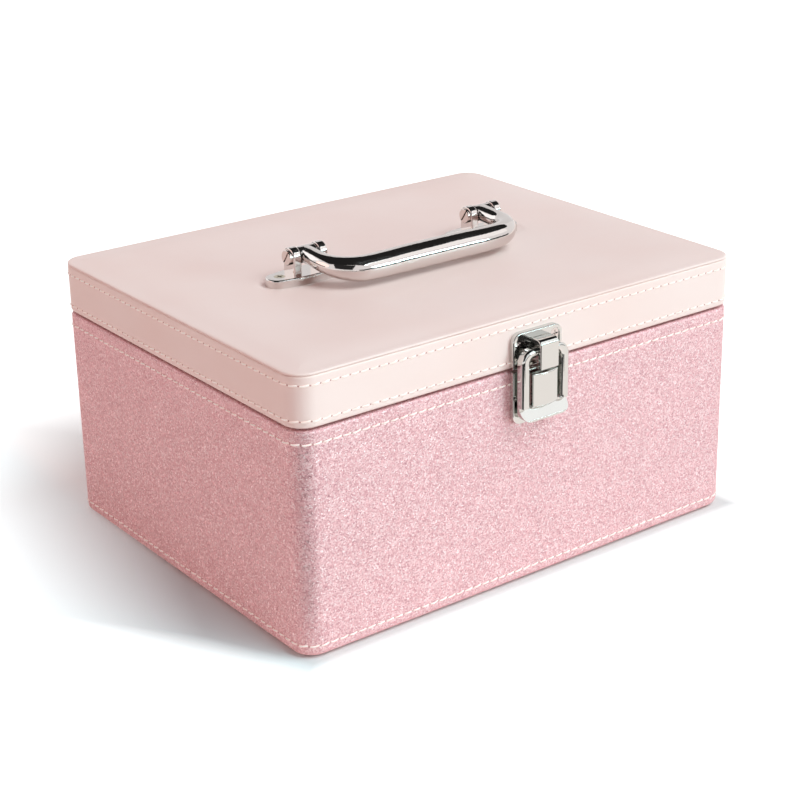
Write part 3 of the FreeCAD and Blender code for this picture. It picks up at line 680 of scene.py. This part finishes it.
bodyCover = {
    "bottom": 0.8,
    "top": 104.2,
    "thickness": 1.0,
    "footRadius": 3.0,
    "rimRadius": 1.2,
    "rimWidth": 7.0,
    "turnIn": 16.0,
    "footEnd": 9.0,  # how far in the flat under the foot arc starts
    "upperRow": 98.4,
    "lowerRow": 6.1,
    "seamDepth": 0.08,
    "seamHalfWidth": 1.0,
    "lowerSeamShare": 0.7,  # the lower row is sewn less tightly
    "wallLevels": (9, 20, 35, 50, 65, 80, 92, 95.5),
    "neckLevels": (101.5, 102.6),
    "innerEdge": 0.4,
}


def makeBodyCover(size):
    foot, rim, wall = size["footRadius"], size["rimRadius"], size["thickness"]
    bottom, top = size["bottom"], size["top"]
    section = [(size["turnIn"], bottom), (size["footEnd"], bottom)]
    section += arc(foot, bottom + foot, foot, -90, 0, 8)[:-1]
    lowerHalfWidth = size["seamHalfWidth"] * size["lowerSeamShare"]
    section += groove(size["lowerRow"], size["seamDepth"], lowerHalfWidth)
    section += [(0.0, level) for level in size["wallLevels"]]
    section += groove(size["upperRow"], size["seamDepth"], size["seamHalfWidth"])
    section += [(0.0, level) for level in size["neckLevels"]]
    section += arc(rim, top - rim, rim, 0, 90, 5)
    section += [(size["rimWidth"] * 0.6, top), (size["rimWidth"], top), (size["rimWidth"], top - wall)]
    edge = size["innerEdge"]
    section += [(wall + edge, top - wall), (wall, top - wall - edge), (wall, bottom + foot)]
    section += arc(foot, bottom + foot, foot - wall, 0, -90, 4)[1:]
    section += [(size["turnIn"], bottom + wall)]
    return sweptCover("bodyGlitterCover", casePlan, section, glitter)


cover = makeBodyCover(bodyCover)
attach(cover, "case_body")
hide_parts("body_cover")
print("body cover is wrapped")


# Side band of the lid

lidBand = {
    "bottom": 105.3,
    "top": 128.0,
    "thickness": 1.0,
    "lowEdge": 1.3,
    "topEdge": 0.8,
    "rimWidth": 7.0,
    "upperRow": 124.0,
    "lowerRow": 108.5,
    "seamDepth": 0.08,
    "seamHalfWidth": 1.0,
    "wallLevels": (111.5, 114.5, 117.5, 120.5),
    "neckLevel": 126.2,
}


def makeLidBand(size):
    low, high, wall = size["lowEdge"], size["topEdge"], size["thickness"]
    bottom, top = size["bottom"], size["top"]
    section = [(size["rimWidth"], bottom), (size["rimWidth"] * 0.6, bottom)]
    section += arc(low, bottom + low, low, -90, 0, 5)
    section += groove(size["lowerRow"], size["seamDepth"], size["seamHalfWidth"])
    section += [(0.0, level) for level in size["wallLevels"]]
    section += groove(size["upperRow"], size["seamDepth"], size["seamHalfWidth"])
    section += [(0.0, size["neckLevel"])]
    section += arc(high, top - high, high, 0, 80, 5)
    section += [(wall, top), (wall, bottom + wall), (size["rimWidth"], bottom + wall)]
    return sweptCover("lidSideBand", casePlan, section, paleLeather)


band = makeLidBand(lidBand)
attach(band, "lid")
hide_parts("lid_side_band")


# Padded top of the lid, pressed in under the handle brackets

lidPad = {
    "bottom": 126.6,
    "seam": 128.05,
    "edge": 129.35,
    "plateau": 130.5,
    "underPlate": 129.5,
    "plateSide": 129.7,
    "softReach": 4.5,
    "armSpacing": 103.0,
    "plateLength": 42.5,
    "plateWidth": 15.5,
    "plateEnd": 6.0,
    "plateSlope": 0.8,  # width of the slope at the plate's edge
    "edgeReach": 16,  # how far in from the sides the pad still rises
    "swell": 0.10,  # the slight unevenness of hand-laid foam
    "swellX": 45,
    "swellY": 38,
    "swellPlace": 3.1,
    "piping": (  # rounded edge over the seam, as inset and level
        (0.18, 128.25), (0.02, 128.55), (0.0, 128.8), (0.12, 129.05), (0.42, 129.25),
    ),
    "underInsets": (9.5, 1.2),
    "topInsets": (1.0, 2.0, 3.5, 5.0, 7.0, 8.5, 10.0),
    "fineX": ((-80, -24), (24, 80)),  # where the brackets press the pad in
    "fineY": ((-14, 14),),
    "fineStepX": 1.2,
    "fineStepY": 1.0,
    "coarseStep": 5,
}


def easeShare(share):
    share = min(max(share, 0.0), 1.0)
    return share * share * (3 - 2 * share)


def boatDistance(x, y, size):
    # how far a point lies outside the boat-shaped bracket plate
    halfWidth, end = size["plateWidth"] / 2, size["plateEnd"]
    endX = size["plateLength"] / 2 - end
    sideRadius = (endX ** 2 + halfWidth ** 2 - end ** 2) / (2 * (halfWidth - end))
    touchX = sideRadius * endX / (sideRadius - end)
    x, y = abs(x), abs(y)
    if x > touchX:
        return math.hypot(x - endX, y) - end
    return math.hypot(x, y + sideRadius - halfWidth) - sideRadius


def padLevel(x, y, size):
    slope = size["plateSlope"]
    edgeDistance = min(casePlan["halfX"] - abs(x), casePlan["halfY"] - abs(y))
    level = size["edge"] + (size["plateau"] - size["edge"]) * easeShare(edgeDistance / size["edgeReach"])
    swellAt = Vector((x / size["swellX"], y / size["swellY"], size["swellPlace"]))
    level += size["swell"] * noise.noise(swellAt)
    for arm in (-size["armSpacing"] / 2, size["armSpacing"] / 2):
        away = boatDistance(x - arm, y, size)
        if away < -slope:
            level = size["underPlate"]
        elif away < 0:
            sideRise = size["plateSide"] - size["underPlate"]
            level = size["underPlate"] + sideRise * easeShare(1 + away / slope)
        else:
            level = size["plateSide"] + (level - size["plateSide"]) * easeShare(away / size["softReach"])
    return level


def gradedStops(half, zones, fine, coarse):
    # stops along a side, close together where the brackets press the pad in
    stops, at = [-half], -half
    while at < half - 1e-6:
        near = any(start - coarse < at < end for start, end in zones)
        at = min(at + (fine if near else coarse), half)
        stops.append(at)
    return stops


def makeLidPad(size):
    plan = dict(casePlan)
    straightX = casePlan["halfX"] - casePlan["radius"]
    straightY = casePlan["halfY"] - casePlan["radius"]
    plan["stopsX"] = gradedStops(straightX, size["fineX"], size["fineStepX"], size["coarseStep"])
    plan["stopsY"] = gradedStops(straightY, size["fineY"], size["fineStepY"], size["coarseStep"])
    bottom, seam = size["bottom"], size["seam"]
    section = [(inset, bottom) for inset in size["underInsets"]]
    section += [(1.1, seam - 0.1), (0.55, seam)]  # tucked in under the piping
    section += size["piping"]
    rings = [ringAt(plan, inset, level) for inset, level in section]
    for inset in size["topInsets"]:
        ring = ringAt(plan, inset, 0)
        rings.append([(x, y, padLevel(x, y, size)) for x, y, level in ring])
    points = [p for ring in rings for p in ring]
    count = len(rings[0])
    faces = ringFaces(len(rings), count, False)
    start = len(points)  # the middle of the pad is a plain grid inside the last ring
    columns, rows = len(plan["stopsX"]), len(plan["stopsY"])
    points += [(x, y, padLevel(x, y, size)) for y in plan["stopsY"] for x in plan["stopsX"]]
    for j in range(rows - 1):
        for i in range(columns - 1):
            a = start + j * columns + i
            faces.append((a, a + 1, a + columns + 1, a + columns))
    faces.append(tuple(reversed(range(count))))
    return buildObject("lidPaddedTop", points, faces, paleLeather, 60)


pad = makeLidPad(lidPad)
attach(pad, "lid")
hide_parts("lid_top_cover", "lid_foam")
print("lid is covered and padded")


# Stitched rows, laid by Geometry Nodes along a loop

stitches = {
    "Pitch": 4.85 * mm,
    "Thread Length": 3.7 * mm,
    "Thread Radius": 0.44 * mm,
    "Hole Radius": 0.44 * mm,
    "Slant": 0.13,
    "Seed": 4,
}
stitchForm = {
    "bow": 1.3,  # rise of the middle of a stitch, in thread radii
    "dive": -0.6,  # depth of its ends, in thread radii
    "bowPower": 0.6,
    "flatness": 0.85,  # pulled tight
    "slantRange": (0.6, 1.4),
    "lengthRange": (0.92, 1.06),
    "pitDepth": 0.12 * mm,
}


def stitchTree(threadMaterial, holeMaterial):
    tree = bpy.data.node_groups.new("lockstitchRow", "GeometryNodeTree")
    face = tree.interface
    face.new_socket("Row", in_out="INPUT", socket_type="NodeSocketGeometry")
    for name, value in stitches.items():
        kind = "NodeSocketInt" if name == "Seed" else "NodeSocketFloat"
        face.new_socket(name, in_out="INPUT", socket_type=kind).default_value = value
    face.new_socket("Geometry", in_out="OUTPUT", socket_type="NodeSocketGeometry")
    size = addNode(tree, "NodeGroupInput").outputs
    line = addNode(tree, "GeometryNodeMeshToCurve", links={"Mesh": size["Row"]})
    length = addNode(tree, "GeometryNodeCurveLength", links={"Curve": line.outputs[0]})
    loops = addNode(
        tree, "GeometryNodeAttributeDomainSize", {"component": "CURVE"},
        links={"Geometry": line.outputs[0]},
    )
    each = addNode(
        tree, "ShaderNodeMath", {"operation": "DIVIDE"},
        links={0: length.outputs[0], 1: loops.outputs["Spline Count"]},
    )
    pitches = addNode(
        tree, "ShaderNodeMath", {"operation": "DIVIDE"},
        links={0: each.outputs[0], 1: size["Pitch"]},
    )
    whole = addNode(tree, "ShaderNodeMath", {"operation": "ROUND"}, links={0: pitches.outputs[0]})
    twice = addNode(
        tree, "ShaderNodeMath", {"operation": "MULTIPLY"}, {1: 2.0}, {0: whole.outputs[0]},
    )
    places = addNode(
        tree, "GeometryNodeCurveToPoints", {"mode": "COUNT"},
        links={"Curve": line.outputs[0], "Count": twice.outputs[0]},
    ).outputs
    outward = addNode(
        tree, "ShaderNodeVectorMath", {"operation": "CROSS_PRODUCT"}, {1: (0, 0, 1)},
        {0: places["Tangent"]},
    )
    turn = addNode(
        tree, "FunctionNodeAxesToRotation", {"primary_axis": "X", "secondary_axis": "Z"},
        links={"Primary Axis": places["Tangent"], "Secondary Axis": outward.outputs[0]},
    )
    order = addNode(tree, "GeometryNodeInputIndex")
    parity = addNode(
        tree, "ShaderNodeMath", {"operation": "MODULO"}, {1: 2.0}, {0: order.outputs[0]},
    )
    isStitch = addNode(
        tree, "FunctionNodeCompare", {"data_type": "FLOAT", "operation": "LESS_THAN"}, {"B": 0.5},
        {"A": parity.outputs[0]},
    )
    isHole = addNode(
        tree, "FunctionNodeBooleanMath", {"operation": "NOT"},
        links={0: isStitch.outputs["Result"]},
    )
    # one stitch: a short thread that rises in the middle and dives at both ends
    half = addNode(
        tree, "ShaderNodeMath", {"operation": "MULTIPLY"}, {1: 0.5}, {0: size["Thread Length"]},
    )
    minus = addNode(
        tree, "ShaderNodeMath", {"operation": "MULTIPLY"}, {1: -0.5}, {0: size["Thread Length"]},
    )
    left = addNode(tree, "ShaderNodeCombineXYZ", links={"X": minus.outputs[0]})
    right = addNode(tree, "ShaderNodeCombineXYZ", links={"X": half.outputs[0]})
    straight = addNode(
        tree, "GeometryNodeCurvePrimitiveLine",
        links={"Start": left.outputs[0], "End": right.outputs[0]},
    )
    stepped = addNode(
        tree, "GeometryNodeResampleCurve", values={"Count": 6},
        links={"Curve": straight.outputs[0]},
    )
    along = addNode(tree, "GeometryNodeSplineParameter")
    rise = addNode(
        tree, "ShaderNodeMath", {"operation": "MULTIPLY"}, {1: math.pi},
        {0: along.outputs["Factor"]},
    )
    rise = addNode(tree, "ShaderNodeMath", {"operation": "SINE"}, links={0: rise.outputs[0]})
    rise = addNode(
        tree, "ShaderNodeMath", {"operation": "POWER"}, {1: stitchForm["bowPower"]},
        {0: rise.outputs[0]},
    )
    lift = addNode(
        tree, "ShaderNodeMath", {"operation": "MULTIPLY_ADD"},
        {1: stitchForm["bow"], 2: stitchForm["dive"]}, {0: rise.outputs[0]},
    )
    height = addNode(
        tree, "ShaderNodeMath", {"operation": "MULTIPLY"},
        links={0: lift.outputs[0], 1: size["Thread Radius"]},
    )
    offset = addNode(tree, "ShaderNodeCombineXYZ", links={"Z": height.outputs[0]})
    bowed = addNode(
        tree, "GeometryNodeSetPosition",
        links={"Geometry": stepped.outputs[0], "Offset": offset.outputs[0]},
    )
    ringLine = addNode(
        tree, "GeometryNodeCurvePrimitiveCircle", values={"Resolution": 6},
        links={"Radius": size["Thread Radius"]},
    )
    stitch = addNode(
        tree, "GeometryNodeCurveToMesh", values={"Fill Caps": True},
        links={"Curve": bowed.outputs[0], "Profile Curve": ringLine.outputs[0]},
    )
    flat = addNode(
        tree, "GeometryNodeTransform", values={"Scale": (1.0, 1.0, stitchForm["flatness"])},
        links={"Geometry": stitch.outputs[0]},
    )
    smoothStitch = addNode(tree, "GeometryNodeSetShadeSmooth", links={"Geometry": flat.outputs[0]})
    least, most = stitchForm["slantRange"]
    slantRange = addNode(
        tree, "FunctionNodeRandomValue", {"data_type": "FLOAT"}, {"Min": least, "Max": most},
        {"Seed": size["Seed"]},
    )
    slant = addNode(
        tree, "ShaderNodeMath", {"operation": "MULTIPLY"},
        links={0: slantRange.outputs["Value"], 1: size["Slant"]},
    )
    leaned = addNode(tree, "ShaderNodeCombineXYZ", links={"Z": slant.outputs[0]})
    asRotation = addNode(tree, "FunctionNodeEulerToRotation", links={"Euler": leaned.outputs[0]})
    turned = addNode(
        tree, "FunctionNodeRotateRotation", {"rotation_space": "LOCAL"},
        links={"Rotation": turn.outputs[0], "Rotate By": asRotation.outputs[0]},
    )
    least, most = stitchForm["lengthRange"]
    growth = addNode(
        tree, "FunctionNodeRandomValue", {"data_type": "FLOAT"}, {"Min": least, "Max": most},
        {"Seed": size["Seed"]},
    )
    laid = addNode(
        tree, "GeometryNodeInstanceOnPoints",
        links={
            "Points": places["Points"], "Selection": isStitch.outputs["Result"],
            "Instance": smoothStitch.outputs[0], "Rotation": turned.outputs[0],
            "Scale": growth.outputs["Value"],
        },
    )
    threads = addNode(tree, "GeometryNodeRealizeInstances", links={"Geometry": laid.outputs[0]})
    threads = addNode(
        tree, "GeometryNodeSetMaterial", values={"Material": threadMaterial},
        links={"Geometry": threads.outputs[0]},
    )
    # one needle hole: a low cone where the thread goes in
    cone = addNode(
        tree, "GeometryNodeMeshCone",
        values={"Vertices": 8, "Radius Top": 0.0, "Depth": stitchForm["pitDepth"]},
        links={"Radius Bottom": size["Hole Radius"]},
    )
    pits = addNode(
        tree, "GeometryNodeInstanceOnPoints",
        links={
            "Points": places["Points"], "Selection": isHole.outputs[0],
            "Instance": cone.outputs["Mesh"], "Rotation": turn.outputs[0],
        },
    )
    holes = addNode(tree, "GeometryNodeRealizeInstances", links={"Geometry": pits.outputs[0]})
    holes = addNode(
        tree, "GeometryNodeSetMaterial", values={"Material": holeMaterial},
        links={"Geometry": holes.outputs[0]},
    )
    joined = addNode(tree, "GeometryNodeJoinGeometry")
    tree.links.new(threads.outputs[0], joined.inputs[0])
    tree.links.new(holes.outputs[0], joined.inputs[0])
    addNode(tree, "NodeGroupOutput", links={"Geometry": joined.outputs[0]})
    return tree


def runTree(name, tree, rows, values):
    # the rows are closed loops of edges; the result is one plain mesh
    points, edges = [], []
    for row in rows:
        first = len(points)
        points += [tuple(c * mm for c in p) for p in row]
        edges += [(first + i, first + (i + 1) % len(row)) for i in range(len(row))]
    mesh = bpy.data.meshes.new(name + "Row")
    mesh.from_pydata(points, edges, [])
    obj = bpy.data.objects.new(name, mesh)
    scene.collection.objects.link(obj)
    modifier = obj.modifiers.new("stitches", "NODES")
    modifier.node_group = tree
    for item in tree.interface.items_tree:
        if item.in_out == "INPUT" and item.name in values:
            modifier[item.identifier] = values[item.name]
    evaluated = obj.evaluated_get(bpy.context.evaluated_depsgraph_get())
    plain = bpy.data.meshes.new_from_object(evaluated)
    obj.modifiers.clear()
    obj.data = plain
    plain.name = name
    return obj


rowTree = stitchTree(thread, pit)


def stitchedRows(name, levels, depth, seed):
    rows = [ringAt(casePlan, depth, level) for level in levels]
    values = dict(stitches)
    values["Seed"] = seed
    return runTree(name, rowTree, rows, values)


bodyLevels = (bodyCover["upperRow"], bodyCover["lowerRow"])
bodyStitches = stitchedRows("bodyStitches", bodyLevels, bodyCover["seamDepth"], 4)
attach(bodyStitches, "case_body")
lidLevels = (lidBand["upperRow"], lidBand["lowerRow"])
lidStitches = stitchedRows("lidStitches", lidLevels, lidBand["seamDepth"], 9)
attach(lidStitches, "lid")
stitchFaces = len(bodyStitches.data.polygons) + len(lidStitches.data.polygons)
print("stitches are sewn:", stitchFaces, "faces")


# Boards and sheets that are covered in cloth get soft edges

def softenedCopy(node, material, edge, name):
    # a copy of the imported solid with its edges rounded, as cloth or flock rounds them
    source = nodes[node]
    mesh = source.data.copy()
    mesh.name = name
    bm = bmesh.new()
    bm.from_mesh(mesh)
    bmesh.ops.remove_doubles(bm, verts=bm.verts, dist=0.005 * mm)
    bmesh.ops.dissolve_limit(bm, angle_limit=math.radians(1), verts=bm.verts, edges=bm.edges)
    bm.to_mesh(mesh)
    bm.free()
    mesh.materials.clear()
    mesh.materials.append(material)
    obj = bpy.data.objects.new(name, mesh)
    scene.collection.objects.link(obj)
    bevel = obj.modifiers.new("softEdge", "BEVEL")
    bevel.width = edge * mm
    bevel.segments = 3
    bevel.limit_method = "ANGLE"
    bevel.angle_limit = math.radians(40)
    plain = bpy.data.meshes.new_from_object(obj.evaluated_get(bpy.context.evaluated_depsgraph_get()))
    obj.modifiers.clear()
    obj.data = plain
    plain.shade_smooth()
    plain.set_sharp_from_angle(angle=math.radians(50))
    return obj


coveredBoards = [
    # node, body, finish, edge radius in millimetres, slot
    ("body_wall_lining", "case_body", flock, 0.3, "flock_lining"),
    ("body_floor_lining", "case_body", flock, 0.4, "flock_lining"),
    ("front_tray_ledge", "case_body", flockDark, 0.8, "flocked_board"),
    ("back_tray_ledge", "case_body", flockDark, 0.8, "flocked_board"),
    ("lid_rim_lining", "lid", flock, 0.3, "flock_lining"),
    ("lid_inner_panel", "lid", flock, 0.9, "flocked_board"),
    ("tray_floor", "tray", flockDark, 0.5, "flocked_board"),
    ("tray_left_wall", "tray", flockDark, 0.9, "flocked_board"),
    ("tray_right_wall", "tray", flockDark, 0.9, "flocked_board"),
    ("tray_front_wall", "tray", flockDark, 0.9, "flocked_board"),
    ("tray_back_wall", "tray", flockDark, 0.9, "flocked_board"),
    ("tray_lining", "tray", flock, 0.3, "flock_lining"),
    ("tray_long_divider", "tray", flockDark, 0.8, "flocked_board"),
    ("tray_cross_dividers", "tray", flockDark, 0.8, "flocked_board"),
    ("tray_pull_tab", "tray", tabLeather, 0.4, "pull_tab_leather"),
]


def camelName(node):
    first, *rest = node.split("_")
    return first + "".join(word.capitalize() for word in rest)


for node, body, finish, edge, slotName in coveredBoards:
    piece = softenedCopy(node, finish, edge, camelName(node) + "Covered")
    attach(piece, body)
    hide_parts(node)
print("linings and tray are covered")


# Finishes for the hard pieces

slotFinishes = {
    "fibreboard": fibreboard,
    "flocked_board": flockDark,
    "glitter_leather": glitter,
    "smooth_leather": paleLeather,
    "flock_lining": flock,
    "underside_paper": underPaper,
    "grey_card": greyCard,
    "foam": paddingFoam,
    "mirror": mirror,
    "pull_tab_leather": tabLeather,
    "chrome": chrome,
    "steel": steel,
}
nodeFinishes = {
    "handle_bracket_screws": zinc,
    "handle_pivot_screws": nickel,
    "latch_ring": pressedChrome,
    "latch_upper_plate": pressedChrome,
    "latch_lower_plate": pressedChrome,
}
for name, node in nodes.items():
    for place in node.material_slots:
        slotName = place.material.name.split(".")[0] if place.material else "fibreboard"
        place.material = nodeFinishes.get(name, slotFinishes.get(slotName, fibreboard))
print("hard pieces are finished")
